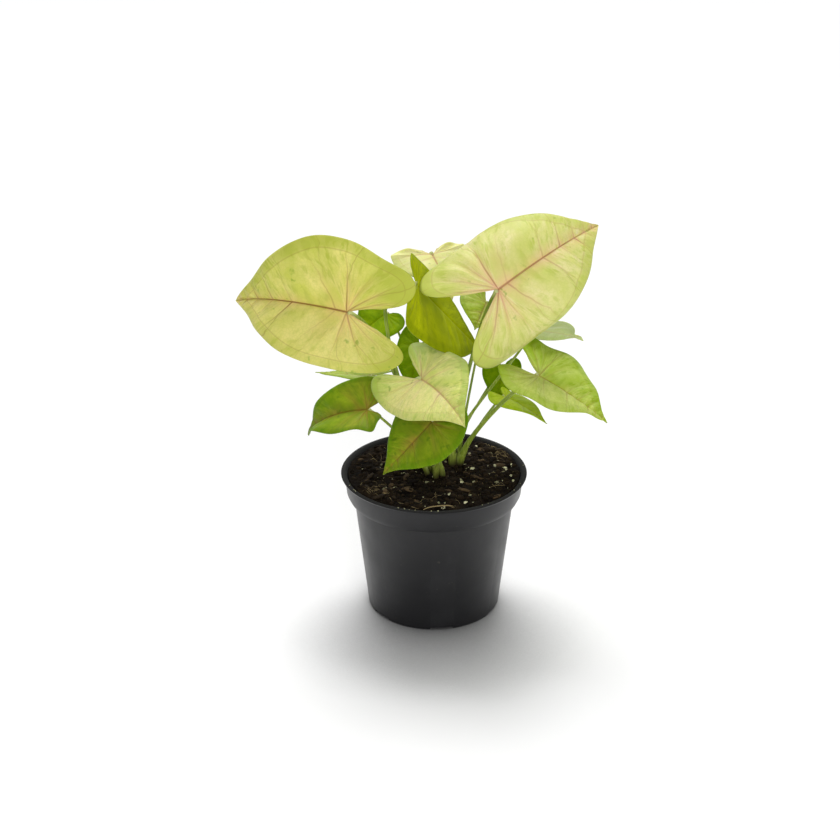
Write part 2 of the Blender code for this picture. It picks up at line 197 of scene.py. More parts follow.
def leafMaterial(name, look, underside):
    material, tree, shader = newMaterial(name, look["gloss"], look["shine"])
    place = addNode(tree, "TexCoord").outputs["Object"]
    veins, extent, edge = (
        addNode(tree, "SeparateXYZ", {
            0: addNode(tree, "Attribute", attribute_name=attribute).outputs["Vector"],
        }).outputs for attribute in ("veins", "extent", "edge")
    )
    number, share, ribGap = veins["X"], veins["Y"], veins["Z"]
    spacing, tipShare, reach = extent["X"], extent["Y"], extent["Z"]
    vigour, inward, cream = edge["X"], edge["Y"], edge["Z"]

    # the side veins wander a little on their way to the margin
    drift = addNode(tree, "TexNoise", {"Vector": place, "Scale": grain(15), "Detail": 2.0})
    drift = addNode(tree, "Math", {0: drift, 1: 0.5}, operation="SUBTRACT")
    drift = addNode(tree, "Math", {0: drift, 1: share}, operation="MULTIPLY")
    number = addNode(tree, "Math", {0: drift, 1: 0.55, 2: number}, operation="MULTIPLY_ADD")

    # side veins taper from about 1 mm to 0.4 mm and fade outward
    nearest = addNode(tree, "Math", {0: number}, operation="ROUND")
    offset = addNode(tree, "Math", {0: number, 1: nearest}, operation="SUBTRACT")
    sideGap = addNode(tree, "Math", {0: offset}, operation="ABSOLUTE")
    sideGap = addNode(tree, "Math", {0: sideGap, 1: spacing}, operation="MULTIPLY")
    lineWidth = addNode(tree, "MapRange", {0: share, 3: 0.66, 4: 0.26})
    sideLine = addNode(tree, "Math", {0: sideGap, 1: lineWidth}, operation="DIVIDE")
    sideLine = addNode(tree, "MapRange", {0: sideLine, 1: 0.3, 2: 1.15, 3: 1.0, 4: 0.0})
    sideFade = addNode(tree, "MapRange", {0: share, 1: 0.05, 2: 0.9, 3: 1.0, 4: 0.1})
    sideFade = addNode(tree, "Math", {0: sideFade, 1: vigour}, operation="MULTIPLY")
    sideLine = addNode(tree, "Math", {0: sideLine, 1: sideFade}, operation="MULTIPLY")

    # each one forks half way out
    bend = addNode(tree, "MapRange", {0: share, 1: 0.42, 2: 0.92, 4: 0.36})
    forkGap = addNode(tree, "Math", {0: offset, 1: bend}, operation="SUBTRACT")
    forkGap = addNode(tree, "Math", {0: forkGap}, operation="ABSOLUTE")
    forkGap = addNode(tree, "Math", {0: forkGap, 1: spacing}, operation="MULTIPLY")
    fork = addNode(tree, "MapRange", {0: forkGap, 1: 0.1, 2: 0.42, 3: 1.0, 4: 0.0})
    forkFade = addNode(tree, "MapRange", {0: share, 1: 0.42, 2: 0.5, 4: 0.45})
    forkFade = addNode(tree, "Math", {0: forkFade, 1: vigour}, operation="MULTIPLY")
    fork = addNode(tree, "Math", {0: fork, 1: forkFade}, operation="MULTIPLY")

    # a faint vein follows the margin, with a greener band outside it
    rimGap = addNode(tree, "Math", {0: inward, 1: 0.155}, operation="SUBTRACT")
    rimGap = addNode(tree, "Math", {0: rimGap}, operation="ABSOLUTE")
    rimLine = addNode(tree, "MapRange", {0: rimGap, 1: 0.003, 2: 0.012, 3: 0.28, 4: 0.0})
    band = addNode(tree, "MapRange", {0: inward, 1: 0.11, 2: 0.19, 3: 1.0, 4: 0.0},
                   interpolation_type="SMOOTHSTEP")

    # a midrib that tapers from about 1.3 mm to 0.4 mm
    ribWidth = addNode(tree, "MapRange", {0: tipShare, 1: 0.0, 2: 1.0, 3: 0.95, 4: 0.3})
    ribLine = addNode(tree, "Math", {0: ribGap, 1: ribWidth}, operation="DIVIDE")
    ribLine = addNode(tree, "MapRange", {0: ribLine, 1: 0.3, 2: 1.05, 3: 1.0, 4: 0.0})
    ribFade = addNode(tree, "MapRange", {0: tipShare, 1: 0.6, 2: 0.95, 3: 1.0, 4: 0.3})
    ribLine = addNode(tree, "Math", {0: ribLine, 1: ribFade}, operation="MULTIPLY")
    line = addNode(tree, "Math", {0: sideLine, 1: fork}, operation="MAXIMUM")
    line = addNode(tree, "Math", {0: line, 1: rimLine}, operation="MAXIMUM")
    line = addNode(tree, "Math", {0: line, 1: ribLine}, operation="MAXIMUM")

    # a net of fine veins, 2.6 mm across
    net = addNode(tree, "TexVoronoi", {
        "Vector": place, "Scale": grain(2.6),
    }, feature="DISTANCE_TO_EDGE")
    net = addNode(tree, "MapRange", {0: net, 1: 0.0, 2: 0.14, 3: 1.0, 4: 0.0})

    # cream streaks that run with the veins, and so are scaled to them and not in mm, with
    # soft green patches
    along = addNode(tree, "Math", {0: number, 1: 1.6}, operation="MULTIPLY")
    streakPlace = addNode(tree, "CombineXYZ", {0: along, 1: share, 2: tipShare})
    streak = addNode(tree, "TexNoise", {"Vector": streakPlace, "Scale": 1.9, "Detail": 4.0})
    streak = addNode(tree, "MapRange", {0: streak, 1: 0.36, 2: 0.68})
    creamy = addNode(tree, "MapRange", {0: ribGap, 1: 0.0, 2: 2.0, 4: 0.55})
    streak = addNode(tree, "Math", {
        0: creamy, 1: cream, 2: streak,
    }, operation="MULTIPLY_ADD", use_clamp=True)
    patch = addNode(tree, "TexNoise", {"Vector": place, "Scale": grain(24), "Detail": 3.0})
    patch = addNode(tree, "MapRange", {0: patch, 1: 0.40, 2: 0.68})
    dapple = addNode(tree, "TexNoise", {"Vector": streakPlace, "Scale": 4.5, "Detail": 3.0})
    dapple = addNode(tree, "MapRange", {0: dapple, 1: 0.52, 2: 0.66, 4: 0.6})
    greenness = addNode(tree, "Math", {0: band, 1: 0.5}, operation="MULTIPLY")
    greenness = addNode(tree, "Math", {0: patch, 1: 0.55, 2: greenness}, operation="MULTIPLY_ADD")
    greenness = addNode(tree, "Math", {0: greenness, 1: dapple}, operation="ADD")
    lessGreen = addNode(tree, "MapRange", {0: cream, 3: 1.0, 4: 0.55})
    greenness = addNode(tree, "Math", {0: greenness, 1: lessGreen}, operation="MULTIPLY")
    lobes = addNode(tree, "MapRange", {0: tipShare, 1: -0.1, 2: -0.4, 4: 0.6})
    greenness = addNode(tree, "Math", {0: greenness, 1: lobes}, operation="ADD")

    # the blush gathers round the junction and along the ribs
    nearRib = addNode(tree, "MapRange", {0: ribGap, 1: 0.0, 2: 8.0, 3: 0.5, 4: 0.0})
    nearSide = addNode(tree, "MapRange", {0: sideGap, 1: 0.0, 2: 2.4, 3: 0.45, 4: 0.0})
    nearSide = addNode(tree, "Math", {0: nearSide, 1: sideFade}, operation="MULTIPLY")
    nearFoot = addNode(tree, "MapRange", {0: reach, 1: 2.0, 2: 30.0, 3: 0.7, 4: 0.0})
    blush = addNode(tree, "Math", {0: nearRib, 1: nearSide}, operation="ADD")
    blush = addNode(tree, "Math", {0: blush, 1: nearFoot}, operation="ADD")
    cloud = addNode(tree, "TexNoise", {"Vector": streakPlace, "Scale": 1.3, "Detail": 3.0})
    cloud = addNode(tree, "MapRange", {0: cloud, 1: 0.34, 2: 0.66, 3: 0.15, 4: 1.0})
    blush = addNode(tree, "Math", {0: blush, 1: cloud}, operation="MULTIPLY")
    blushAmount = look["blushAmount"] * (0.3 if underside else 1.0)
    blush = addNode(tree, "Math", {0: blush, 1: blushAmount}, operation="MULTIPLY", use_clamp=True)

    # a few green flecks, 1 to 3 mm long
    fleck = addNode(tree, "TexNoise", {"Vector": place, "Scale": grain(6.5), "Detail": 2.0})
    fleck = addNode(tree, "MapRange", {0: fleck, 1: 0.69, 2: 0.76, 4: 0.6})

    # the underside is one paler green, so the streaks don't show there
    base, light = ("under", "under") if underside else ("base", "light")
    colour = addNode(tree, "Mix", {
        0: streak, 6: toLinear(look[base]), 7: toLinear(look[light]),
    }, data_type="RGBA")
    layers = (
        (greenness, look["green"], 0.35 if underside else 1.0),
        (net, look["green"], 0.22),
        (blush, look["blush"], 1.0),
        (fleck, look["fleck"], 1.0),
        (line, look["vein"], look["lines"] * (0.5 if underside else 1.0)),
    )
    for mask, tint, amount in layers:
        mask = addNode(tree, "Math", {0: mask, 1: amount}, operation="MULTIPLY", use_clamp=True)
        colour = addNode(tree, "Mix", {0: mask, 6: colour, 7: toLinear(tint)}, data_type="RGBA")
    tree.links.new(colour.outputs[2], shader.inputs["Base Color"])

    # the grain of the skin, whose cells are drawn at 0.9 mm so that they show, and the net of
    # veins pressed in
    cells = addNode(tree, "TexNoise", {"Vector": place, "Scale": grain(0.9), "Detail": 2.0})
    height = addNode(tree, "Math", {0: net, 1: -0.9, 2: cells}, operation="MULTIPLY_ADD")
    bump = addNode(tree, "Bump", {"Strength": 0.3, "Distance": 0.1 * mm, "Height": height})
    tree.links.new(bump.outputs[0], shader.inputs["Normal"])
    wax = addNode(tree, "TexNoise", {"Vector": place, "Scale": grain(8), "Detail": 2.0})
    wax = addNode(tree, "MapRange", {
        0: wax, 1: 0.3, 2: 0.7, 3: look["gloss"] - 0.06, 4: look["gloss"] + 0.1,
    })
    tree.links.new(wax.outputs[0], shader.inputs["Roughness"])
    shader.inputs["Subsurface Weight"].default_value = 0.2
    shader.inputs["Subsurface Radius"].default_value = (0.8, 1.0, 0.15)
    shader.inputs["Subsurface Scale"].default_value = 1.2 * mm
    return material


# leaves

# heading, pitch, roll: which way the midrib points in plan, how far it rises and how the
# blade banks about it, in degrees. length, width, lobe: the midrib, the half width and
# the back lobes, in mm. droop, back: how far the tip bends down and the lobes bend up, in
# degrees. fold, curl: how far the halves rise from the midrib, and by how much more at the
# margin, in degrees. sweep: the midrib's bend to the left. skew: how much wider the left
# half is. stem, side, rise, hook, under: where and how its stalk leaves the soil and meets
# it, and stout how thick it is. wave: how high and how many ripples its margin has on each
# side. pucker: the swelling between side veins. detail: the facets between them. pale: the
# half that is creamier, 1 the left and -1 the right. grow: how much larger it has grown
# than its solid. bays: where the margin of a half draws in, or swells out below zero, as
# side, place in margin points, depth and reach. usualLeaf is for what a leaf leaves out.
usualLeaf = dict(sweep=0, skew=0, rise=0.2, hook=0.16, under=0.8, pale=0, grow=1.0, bays=())
leaves = {
    "big_left": dict(
        heading=164, pitch=7, roll=-74, length=96, width=41, lobe=43,
        droop=50, back=5, fold=23, curl=-11, sweep=0.15, skew=-0.12,
        stem="stem_back", side=-150, under=0.62, stout=1.15,
        look="youngLeaf", wave=(0.8, 3), pucker=0.8, detail=11, pale=1,
        bays=(
            (-1, 6.4, 0.11, 0.9), (-1, 4.7, -0.05, 0.9), (-1, 3.0, -0.02, 1.0),
            (-1, 9.6, 0.2, 1.2), (1, 4.0, -0.03, 1.2),
        ),
    ),
    "big_right": dict(
        heading=13, pitch=35, roll=60, length=87, width=51, lobe=38,
        droop=55, back=9, fold=16, curl=-99, sweep=-0.03,
        stem="stem_right", side=-105, stout=1.15,
        look="youngPinkLeaf", wave=(0.7, 3), pucker=0.8, detail=11,
        bays=((1, 5.0, -0.05, 1.8), (-1, 3.5, -0.035, 1.6), (1, 0.9, 0.25, 0.5)),
    ),
    "front": dict(
        heading=-55, pitch=0, roll=29, length=52, width=29, lobe=30,
        droop=18, back=10, fold=10, curl=-33, sweep=-0.18,
        stem="stem_front", side=-30, hook=0.4, under=0.3, stout=0.95,
        look="paleLeaf", wave=(0.7, 2), pucker=0.6, detail=9, pale=-1,
    ),
    "front_low": dict(
        heading=-162, pitch=-45, roll=-17, length=45, width=29, lobe=21,
        droop=11, back=15, fold=8, curl=-15, sweep=-0.1,
        stem="stem_front", side=-90, stout=0.9,
        look="grownLeaf", wave=(0.4, 2), pucker=0.5, detail=9,
    ),
    "left_low": dict(
        heading=160, pitch=-11, roll=-38, length=65, width=21, lobe=16,
        droop=58, back=15, fold=32, curl=-16,
        stem="stem_front", side=-165, stout=0.9,
        look="grownLeaf", wave=(1.5, 4), pucker=0.5, detail=9, bays=((1, 7.5, -0.25, 1.2),),
    ),
    "right": dict(
        heading=-23, pitch=-21, roll=-2, length=51, width=41, lobe=23,
        droop=13, back=13, fold=9, curl=-15, skew=0.12,
        stem="stem_right", side=-45, stout=1.3,
        look="limeLeaf", wave=(1.2, 4), pucker=0.7, detail=9, pale=-1,
    ),
    "right_low": dict(
        heading=-27, pitch=-14, roll=-15, length=33, width=20, lobe=8,
        droop=16, back=10, fold=9, curl=-17,
        stem="stem_right", side=0, stout=0.8,
        look="brightLeaf", wave=(0.8, 2), pucker=0.4, detail=6, bays=((-1, 4.0, -0.2, 2.0),),
    ),
    "right_shade": dict(
        heading=-110, pitch=-55, roll=-8, length=24, width=13, lobe=8,
        droop=13, back=10, fold=10, curl=-10,
        stem="stem_right", side=105, stout=0.7,
        look="shadedLeaf", wave=(0.4, 2), pucker=0.3, detail=5,
    ),
    "right_back": dict(
        heading=41, pitch=-12, roll=-26, length=46, width=24, lobe=18,
        droop=21, back=10, fold=9, curl=-17,
        stem="stem_right", side=165, stout=0.85,
        look="paleLeaf", wave=(2.6, 2), pucker=0.5, detail=7,
        bays=((-1, 2.5, 0.35, 0.8), (1, 1.5, -0.3, 1.0)),
    ),
    "right_inner": dict(
        heading=-109, pitch=-18, roll=-15, length=24, width=17, lobe=16,
        droop=12, back=10, fold=9, curl=-10,
        stem="stem_right", side=45, stout=0.7,
        look="limeLeaf", wave=(0.5, 2), pucker=0.3, detail=5,
    ),
    "middle": dict(
        heading=24, pitch=-49, roll=33, length=66, width=31, lobe=7,
        droop=2, back=0, fold=3, curl=-11, sweep=0.03, skew=-0.15,
        stem="stem_front", side=135, rise=0.1, hook=0.4, under=0.5, stout=1.0,
        look="oliveLeaf", wave=(0.6, 2), pucker=0.25, detail=9, grow=1.1,
        bays=((-1, 2.0, -0.5, 1.0),),
    ),
    "top": dict(
        heading=-63, pitch=-30, roll=-1, length=36, width=27, lobe=6,
        droop=13, back=15, fold=14, curl=-15, skew=-0.15,
        stem="stem_back", side=60, stout=0.9,
        look="creamLeaf", wave=(1.4, 4), pucker=0.4, detail=7,
    ),
    "left_shade": dict(
        heading=-164, pitch=-31, roll=-14, length=28, width=23, lobe=8,
        droop=14, back=8, fold=8, curl=-11,
        stem="stem_back", side=-90, under=0.95, stout=0.8,
        look="shadedLeaf", wave=(0.6, 2), pucker=0.4, detail=6, bays=((-1, 6.5, -0.3, 2.5),),
    ),
    "left_edge": dict(
        heading=171, pitch=-2, roll=13, length=35, width=19, lobe=16,
        droop=-5, back=10, fold=7, curl=-11,
        stem="stem_back", side=165, stout=0.8,
        look="limeLeaf", wave=(0.8, 2), pucker=0.4, detail=6,
    ),
    "front_shade": dict(
        heading=-105, pitch=-32, roll=1, length=35, width=15, lobe=15,
        droop=12, back=9, fold=8, curl=-10,
        stem="stem_back", side=120, stout=0.8,
        look="shadedLeaf", wave=(0.5, 2), pucker=0.3, detail=6,
    ),
}

leafShape = dict(
    thickness=0.4,
    usualWidth=40.0,  # the half width that the heights and depths below are given for
    slant=0.31,  # how far forward a side vein runs for its reach outward, as shares of the blade
    sideVeins=12,  # on each half, from the tip round to the notch
    tipVeins=6.4, tipSpots=3.2,  # of them, those in the first margin points
    veinBow=0.05, bowTurns=5.5,  # how far they bow, and at which margin point the other way
    rowBunching=1.25,  # facets narrow towards the midrib
    rollWidth=0.14,  # the share of the blade that rolls under at the margin
    roll=1.1,
    groove=0.3, grooveWidth=0.7,  # over each side vein
    ribGroove=1.7, ribGrooveWidth=1.0,  # over the midrib, as a share of the others' depth
    ribRise=0.35, ribRiseWidth=0.9,  # the midrib standing out beneath
    fullSwell=8.0,  # side veins this far apart have the full swelling between them
    waver=0.9, waverLength=22.0,  # how unevenly the whole blade lies
    unevenMargin=0.014,
)

# Half of the margin, from the tip back to the notch. Ahead of the stalk the first number
# is a share of the length, behind it a share of the lobe. The second is of the half width.
frontMargin = ((1.0, 0.0), (0.93, 0.07), (0.78, 0.26), (0.58, 0.60), (0.33, 0.90), (0.08, 1.0))
lobeMargin = ((-0.35, 0.98), (-0.80, 0.84), (-1.0, 0.60), (-0.88, 0.38), (-0.5, 0.19))
marginSpans = len(frontMargin) + len(lobeMargin) - 1

plainBlade = dict(columns=10, rows=4, slant=0.75)  # the CAD blade's facets on each half


def marginPoints(leaf):
    front = [Vector((a * leaf["length"], b * leaf["width"])) for a, b in frontMargin]
    lobe = [Vector((a * leaf["lobe"], b * leaf["width"])) for a, b in lobeMargin]
    return front + lobe


def bladeAxes(leaf):  # along the midrib, to the blade's left, and out of its upper side
    heading, pitch, roll = (math.radians(leaf[key]) for key in ("heading", "pitch", "roll"))
    along = Vector((
        math.cos(pitch) * math.cos(heading), math.cos(pitch) * math.sin(heading), math.sin(pitch),
    ))
    level = Vector((-math.sin(heading), math.cos(heading), 0.0))
    left = math.cos(roll) * level + math.sin(roll) * along.cross(level)
    return along, left, along.cross(left)


def bendBlade(leaf, axes, a, b, height=0.0):
    # where a point of the flat blade lies from the junction, height being above its surface
    along, left, above = axes
    b *= 1.0 + leaf["skew"] * math.copysign(1.0, b)
    if a >= 0:
        rate = math.radians(leaf["droop"]) / leaf["length"]
    else:
        rate = -math.radians(leaf["back"]) / leaf["lobe"]
    rate = rate or 1e-6
    ahead, rise, slope = math.sin(rate * a) / rate, (math.cos(rate * a) - 1.0) / rate, -rate * a

    fold, curl = math.radians(leaf["fold"]), math.radians(leaf["curl"]) / leaf["width"]
    turned = fold + curl * abs(b)
    out = (math.sin(turned) - math.sin(fold)) / curl - height * math.sin(turned) * min(abs(b) / 3.0, 1.0)
    lift = (math.cos(fold) - math.cos(turned)) / curl + height * math.cos(turned)
    out = math.copysign(1.0, b) * out + leaf["sweep"] * max(a, 0.0) ** 2 / leaf["length"]
    ahead -= lift * math.sin(slope)
    rise += lift * math.cos(slope)
    return ahead * along + out * left + rise * above


def veinFoot(edge, slant):  # where on the midrib a vein to this point of the margin starts
    return Vector((max(edge.x - slant * edge.y, 0.0), 0.0))


def junctionOf(name, leaf):
    # The junction comes from the CAD blade's box and the plain blade's own box about it.
    margin, axes = marginPoints(leaf), bladeAxes(leaf)
    columns, rows = plainBlade["columns"], plainBlade["rows"]
    spots = []
    for column in range(-columns, columns + 1):
        edge = smoothThrough(margin, abs(column) / columns)
        foot = veinFoot(edge, plainBlade["slant"])
        for row in range(rows + 1):
            flat = foot.lerp(edge, row / rows)
            spots.append(bendBlade(leaf, axes, flat.x, math.copysign(flat.y, -column)))
    low = Vector([min(spot[axis] for spot in spots) for axis in range(3)])
    high = Vector([max(spot[axis] for spot in spots) for axis in range(3)])
    return boxMiddle(*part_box("blade_" + name)) - (low + high) * mm / 2


def veinSpot(number):  # where on the margin a side vein ends, counted in margin points
    tipVeins, tipSpots = leafShape["tipVeins"], leafShape["tipSpots"]
    if number <= tipVeins:
        return tipSpots * number / tipVeins
    beyond = (number - tipVeins) / (leafShape["sideVeins"] - tipVeins)
    return tipSpots + (marginSpans - tipSpots) * min(beyond, 1.0)


def veinPoint(leaf, margin, number, share, side, seed):
    # a flat point on the side vein of this number, at a share of its way to the margin
    spot = veinSpot(number)
    edge = smoothThrough(margin, spot / marginSpans) * leaf["grow"]
    foot = veinFoot(edge, leafShape["slant"] * leaf["length"] / leaf["width"])
    turn = min(max((spot - leafShape["bowTurns"]) / 1.5, -1.0), 1.0)
    turn *= min((marginSpans - spot) / 3.0, 1.0)
    bow = leafShape["veinBow"] * turn * 4.0 * share * (1.0 - share) * (edge - foot).length
    flat = foot.lerp(edge, share) + Vector((bow, 0.0))
    uneven = noise.noise(Vector((1.3 * spot, 3.0 * side, seed)))
    flat.y *= 1.0 + leafShape["unevenMargin"] * uneven * share ** 2
    for half, middle, depth, reach in leaf["bays"]:
        if half == side:
            flat.y *= 1.0 - depth * share ** 2 * math.exp(-((spot - middle) / reach) ** 2)
    return flat


def veinVigour(number, side, seed):  # how plainly this side vein shows
    strength = 0.62 + 0.38 * math.sin(2.1 * round(number) + 1.9 * side + seed)
    strength *= 0.65 if round(number) % 2 else 1.0
    return max(strength, 0.25) * min(0.35 + number / 6.0, 1.0)


def bladeHeight(leaf, seed, number, share, spacing, ribGap, flat):
    # ripples of the margin, its roll, the swelling between side veins and their grooves
    spot = veinSpot(number)
    ripple, count = leaf["wave"]
    turn = 2 * math.pi * count * spot / marginSpans + seed
    ends = min(spot / 2.0, 1.0) * min((marginSpans - spot) / 2.5, 1.0)
    height = ripple * math.sin(turn) * share ** 2.5 * ends
    size = leaf["width"] / leafShape["usualWidth"]
    rolled = max((share - (1.0 - leafShape["rollWidth"])) / leafShape["rollWidth"], 0.0)
    height -= leafShape["roll"] * size * rolled ** 2 * ends

    sideGap = abs(number - round(number))
    window = math.sin(math.pi * min(share, 1.0)) ** 0.8 * min(spot / 1.5, 1.0)
    swell = math.sin(math.pi * sideGap) ** 2 * min(spacing / leafShape["fullSwell"], 1.2)
    height += leaf["pucker"] * swell * window
    depth = leafShape["groove"] * size ** 0.5
    height -= depth * math.exp(-(sideGap * spacing / leafShape["grooveWidth"]) ** 2) * window
    ribGroove = math.exp(-(ribGap / leafShape["ribGrooveWidth"]) ** 2)
    height -= leafShape["ribGroove"] * depth * ribGroove
    spread = leafShape["waverLength"]
    uneven = noise.noise(Vector((flat.x / spread, flat.y / spread, seed)))
    return height + leafShape["waver"] * size * uneven * share


def makeBlade(name, leaf, junction, seed):
    margin, axes = marginPoints(leaf), bladeAxes(leaf)
    bm = bmesh.new()
    columns = 2 * leafShape["sideVeins"] * leaf["detail"]
    bmesh.ops.create_grid(bm, x_segments=columns, y_segments=3 * leaf["detail"] + 8, size=1.0)
    veins = bm.loops.layers.float_vector.new("veins")
    extent = bm.loops.layers.float_vector.new("extent")
    edge = bm.loops.layers.float_vector.new("edge")
    raised = bm.verts.layers.float.new("raised")
    twin = bm.verts.layers.int.new("twin")
    step = 0.1  # to either side along the blade, to measure how far apart the side veins run
    for vert in bm.verts:
        number = abs(vert.co.x) * leafShape["sideVeins"]
        share = ((vert.co.y + 1.0) / 2) ** leafShape["rowBunching"]
        side = -1 if vert.co.x > 0 else 1
        near, flat, far, start, end = (
            veinPoint(leaf, margin, number + beyond, part, side, seed)
            for beyond, part in ((-step, share), (0.0, share), (step, share), (0.0, 0.0), (0.0, 1.0))
        )
        aside, run = far - near, end - start
        spacing = abs(aside.x * run.y - aside.y * run.x) / max(run.length, 1e-6) / (2 * step)
        ribGap = abs(flat.y) if flat.x > 0 else flat.length
        inward = (1.0 - share) * run.length / leaf["width"]
        vigour = veinVigour(number, side, seed)
        cream = 1.0 if leaf["pale"] == side else 0.0
        for loop in vert.link_loops:
            loop[veins] = (number, share, ribGap)
            loop[extent] = (spacing, flat.x / leaf["length"], flat.length)
            loop[edge] = (vigour, inward, cream)
        slimming = 1.0 - 0.8 * max(flat.x, 0.0) / leaf["length"]
        vert[raised] = slimming * math.exp(-(ribGap / leafShape["ribRiseWidth"]) ** 2)
        height = bladeHeight(leaf, seed, number, share, spacing, ribGap, flat)
        height += leafShape["thickness"] / 2
        vert.co = junction + bendBlade(leaf, axes, flat.x, math.copysign(flat.y, side), height) * mm
    bmesh.ops.remove_doubles(bm, verts=bm.verts, dist=0.01 * mm)
    bm.normal_update()
    if sum((face.normal.dot(axes[2]) * face.calc_area() for face in bm.faces)) < 0:
        bmesh.ops.reverse_faces(bm, faces=bm.faces)
    upperFaces = set(bm.faces)
    upperSide = [(vert.co.copy(), vert.normal.copy()) for vert in bm.verts]
    for number, vert in enumerate(bm.verts):
        vert[twin] = number
    upperVerts = set(bm.verts)
    bmesh.ops.solidify(bm, geom=bm.faces[:], thickness=leafShape["thickness"] * mm)
    for face in bm.faces:
        face.material_index = 0 if face in upperFaces else 1
    for vert in bm.verts:  # an even thickness, with the midrib standing out under the blade
        if vert not in upperVerts:
            top, normal = upperSide[vert[twin]]
            rib = vert[raised] * leafShape["ribRise"] * leaf["width"] / leafShape["usualWidth"]
            vert.co = top - normal * (leafShape["thickness"] + rib) * mm
    skins = []
    for ending, underside in (("", False), ("Under", True)):
        made = bpy.data.materials.get(leaf["look"] + ending)
        skins.append(made or leafMaterial(leaf["look"] + ending, leafLooks[leaf["look"]], underside))
    return addPiece("blade" + pieceName(name), bm, skins, "leaf", "blade_" + name)


# the mix's surface, which the stalks stand in

soilShape = dict(
    crown=1.0,  # how much higher its middle is than its edge
    fill=3.5,  # how much fuller than the CAD solid the mix lies
    lumps=((1.3, 11.0), (1.0, 4.5), (0.6, 1.9)),  # how high and how far across
    mound=1.0, moundReach=11.0,  # about the stems
    heaps=(  # where coarse fibrous mix lies: x, y, spread and height
        (-38.0, -30.0, 9.0, 1.6), (42.0, 28.0, 9.0, 1.6), (12.0, 43.0, 8.0, 0.8),
    ),
    cells=150,  # facets across
    inset=0.4,  # from the pot's inner wall
    strewn=0.93,  # the share of its area, or of its reach for fibres, that grains lie on
)
_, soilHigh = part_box("potting_soil")
soilEdge = soilHigh[0]


def soilHeight(x, y):
    return soilHigh[2] - soilShape["crown"] * mm * min(math.hypot(x, y) / soilEdge, 1.0) ** 2


# stalks

stalkShape = dict(
    ring=5.2,  # from the stem's middle to the stalk's
    foot=3.0, sunk=1.0,  # how far it stands straight above the mix, and goes into it
    baseRadius=2.1,
    midRadius=1.2,
    tipRadius=0.85,
    thickTop=1.4,  # the swollen end at the blade
    slimShare=0.3, thickShare=0.06,  # of its length, where the foot and the thick end reach
    sheathLength=19.0,  # the part of the stalk that clasps its neighbours
    sheathMost=0.5,  # of the stalk's length
    sheathGap=0.25, sheathFlare=1.0, sheathWall=0.35, sheathTurn=255.0,
    earDrop=0.3,  # how much lower the sheath's middle is than its ears
    setBack=1.0, standOut=0.2,  # where the stalk ends, behind and above the junction
    sides=14, rows=44, sheathSides=16, sheathRows=12,
)
stalkLook = dict(
    shade="#84982c", light="#a9b852", green="#6c8620", foot="#6c5c34", peaty="#2e2716", top="#ccd08c",
    footRise=14.0,  # how far up its foot is tinged brown
    peatyRise=(4.6, 9.9),  # the heights between which the peat on it fades out
)


def stalkMaterial():
    # Green plant stem: smooth, slightly waxy, with fine lengthwise ribs, browner where it
    # comes out of the mix and paler where it meets the blade.
    material, tree, shader = newMaterial("greenStalk", 0.4, 0.3)
    place = addNode(tree, "TexCoord").outputs["Object"]
    drawn = addNode(tree, "Mapping", {"Vector": place, "Scale": (1.0, 1.0, 0.06)})
    streak = addNode(tree, "TexNoise", {"Vector": drawn, "Scale": grain(0.9), "Detail": 3.0})
    streak = addNode(tree, "MapRange", {0: streak, 1: 0.35, 2: 0.65})
    colour = addNode(tree, "Mix", {
        0: streak, 6: toLinear(stalkLook["shade"]), 7: toLinear(stalkLook["light"]),
    }, data_type="RGBA")
    patch = addNode(tree, "TexNoise", {"Vector": place, "Scale": grain(14), "Detail": 2.0})
    patch = addNode(tree, "MapRange", {0: patch, 1: 0.42, 2: 0.7, 4: 0.6})
    up = addNode(tree, "SeparateXYZ", {0: place}).outputs["Z"]
    low = addNode(tree, "MapRange", {
        0: up, 1: soilHigh[2] - 1.0 * mm, 2: soilHigh[2] + stalkLook["footRise"] * mm, 3: 1.0, 4: 0.0,
    })
    blotch = addNode(tree, "TexNoise", {"Vector": place, "Scale": grain(7), "Detail": 1.0})
    blotch = addNode(tree, "MapRange", {0: blotch, 1: 0.42, 2: 0.62, 4: 1.3})
    low = addNode(tree, "Math", {0: low, 1: blotch}, operation="MULTIPLY", use_clamp=True)
    full, gone = (soilHigh[2] + rise * mm for rise in stalkLook["peatyRise"])
    peaty = addNode(tree, "MapRange", {0: up, 1: full, 2: gone, 3: 0.95, 4: 0.0})
    top = addNode(tree, "Attribute", attribute_name="rise").outputs["Fac"]
    top = addNode(tree, "MapRange", {0: top, 1: 0.9, 2: 0.97, 4: 0.85})
    for mask, tint in ((patch, "green"), (low, "foot"), (peaty, "peaty"), (top, "top")):
        colour = addNode(tree, "Mix", {
            0: mask, 6: colour, 7: toLinear(stalkLook[tint]),
        }, data_type="RGBA")
    tree.links.new(colour.outputs[2], shader.inputs["Base Color"])
    bump = addNode(tree, "Bump", {"Strength": 0.4, "Distance": 0.15 * mm, "Height": streak})
    tree.links.new(bump.outputs[0], shader.inputs["Normal"])
    shader.inputs["Subsurface Weight"].default_value = 0.15
    shader.inputs["Subsurface Radius"].default_value = (0.7, 1.0, 0.3)
    shader.inputs["Subsurface Scale"].default_value = 1.5 * mm
    return material


greenStalk = stalkMaterial()
print("stalk material made")


